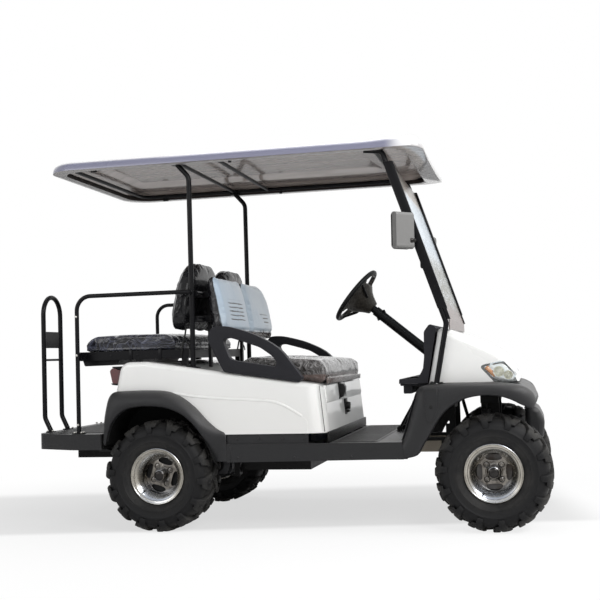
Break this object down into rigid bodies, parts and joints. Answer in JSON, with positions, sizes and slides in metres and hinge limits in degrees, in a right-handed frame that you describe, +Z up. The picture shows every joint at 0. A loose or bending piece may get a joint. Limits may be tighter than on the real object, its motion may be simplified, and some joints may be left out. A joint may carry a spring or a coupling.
{
  "type": "electric hunting buggy",
  "caption": "Lifted electric runabout with a canopy, windshield, front bench, rear-facing bench, footrest, grab rails and knobby wheels.",
  "frame": {"origin": "on the ground under the middle of the overall length and width", "axes": "+X forwards, +Y to the vehicle's left, +Z up"},
  "size_m": [2.6395, 1.3362, 1.949],
  "materials": {
    "body_white": "gloss",
    "trim_charcoal": "satin",
    "tube_black": "satin",
    "steering_rubber": "satin",
    "mirror_housing": "gloss",
    "seat_vinyl": "gloss",
    "screen": "clear",
    "lamp_clear": "clear",
    "lamp_red": "clear",
    "frame_steel": "satin",
    "spring_steel": "satin",
    "hub_iron": "rough",
    "battery_case": "gloss",
    "motor_case": "satin",
    "alloy": "polished",
    "tyre": "matte"
  },
  "bodies": {
    "buggy": {"rear_body": "body_white", "front_cowl": "body_white", "roof_canopy": "body_white", "rear_fender_flares": "trim_charcoal", "rocker_panels": "trim_charcoal", "front_fenders": "trim_charcoal", "front_bumper": "trim_charcoal", "floor_pan": "trim_charcoal", "dashboard": "trim_charcoal", "rear_footrest": "trim_charcoal", "armrests": "trim_charcoal", "side_grab_frames": "tube_black", "grab_hoop": "tube_black", "canopy_frame": "tube_black", "windshield_posts": "tube_black", "seat_frame": "tube_black", "steering_column": "tube_black", "mirrors": "mirror_housing", "rear_seat_cushion": "seat_vinyl", "front_seat_backs": "seat_vinyl", "rear_seat_backs": "seat_vinyl", "windshield": "screen", "headlights": "lamp_clear", "tail_lights": "lamp_red", "chassis_frame": "frame_steel", "front_axle": "frame_steel", "rear_axle": "frame_steel", "pedals": "frame_steel", "front_springs": "spring_steel", "rear_springs": "spring_steel", "battery_pack": "battery_case", "drive_motor": "motor_case"},
    "wheel_front_left": {"tyre_front_left": "tyre", "rim_front_left": "alloy"},
    "wheel_front_right": {"tyre_front_right": "tyre", "rim_front_right": "alloy"},
    "wheel_rear_left": {"tyre_rear_left": "tyre", "rim_rear_left": "alloy"},
    "wheel_rear_right": {"tyre_rear_right": "tyre", "rim_rear_right": "alloy"},
    "knuckle_l": {"knuckle_left": "hub_iron"},
    "knuckle_r": {"knuckle_right": "hub_iron"},
    "rack": {"tie_rod": "spring_steel"},
    "steering": {"steering_wheel": "steering_rubber"},
    "seat_lid": {"front_seat_cushion": "seat_vinyl"}
  },
  "joints": [
    {"name": "rear_wheel_left_spin", "type": "hinge", "parent": "buggy", "child": "wheel_rear_left", "pos_m": [-0.60426, 0.525, 0.277], "axis": [0, 1, 0], "continuous": true},
    {"name": "front_wheel_left_steer", "type": "hinge", "parent": "buggy", "child": "knuckle_l", "pos_m": [1.04574, 0.375, 0.277], "axis": [0, 0, 1], "range_deg": [-28.5, 28.5]},
    {"name": "front_wheel_left_spin", "type": "hinge", "parent": "knuckle_l", "child": "wheel_front_left", "pos_m": [1.04574, 0.475, 0.277], "axis": [0, 1, 0], "continuous": true},
    {"name": "rear_wheel_right_spin", "type": "hinge", "parent": "buggy", "child": "wheel_rear_right", "pos_m": [-0.60426, -0.525, 0.277], "axis": [0, 1, 0], "continuous": true},
    {"name": "front_wheel_right_steer", "type": "hinge", "parent": "buggy", "child": "knuckle_r", "pos_m": [1.04574, -0.375, 0.277], "axis": [0, 0, 1], "range_deg": [-28.5, 28.5]},
    {"name": "front_wheel_right_spin", "type": "hinge", "parent": "knuckle_r", "child": "wheel_front_right", "pos_m": [1.04574, -0.475, 0.277], "axis": [0, 1, 0], "continuous": true},
    {"name": "steering_wheel_turn", "type": "hinge", "parent": "buggy", "child": "steering", "pos_m": [0.28474, 0.25, 1.186], "axis": [-0.766, 0, 0.6428], "range_deg": [-270, 270]},
    {"name": "rack_slide", "type": "slide", "parent": "buggy", "child": "rack", "axis": [0, 1, 0], "range_m": [-0.0405, 0.0405]},
    {"name": "seat_lid_lift", "type": "hinge", "parent": "buggy", "child": "seat_lid", "pos_m": [0.24574, 0, 0.722], "axis": [0, 1, 0], "range_deg": [0, 40]}
  ],
  "couplings": [
    {"joint": "front_wheel_left_steer", "follows": "steering_wheel_turn", "ratio": 0.1037},
    {"joint": "front_wheel_right_steer", "follows": "steering_wheel_turn", "ratio": 0.1037},
    {"joint": "rack_slide", "follows": "steering_wheel_turn", "m_per_rad": -0.008488}
  ]
}
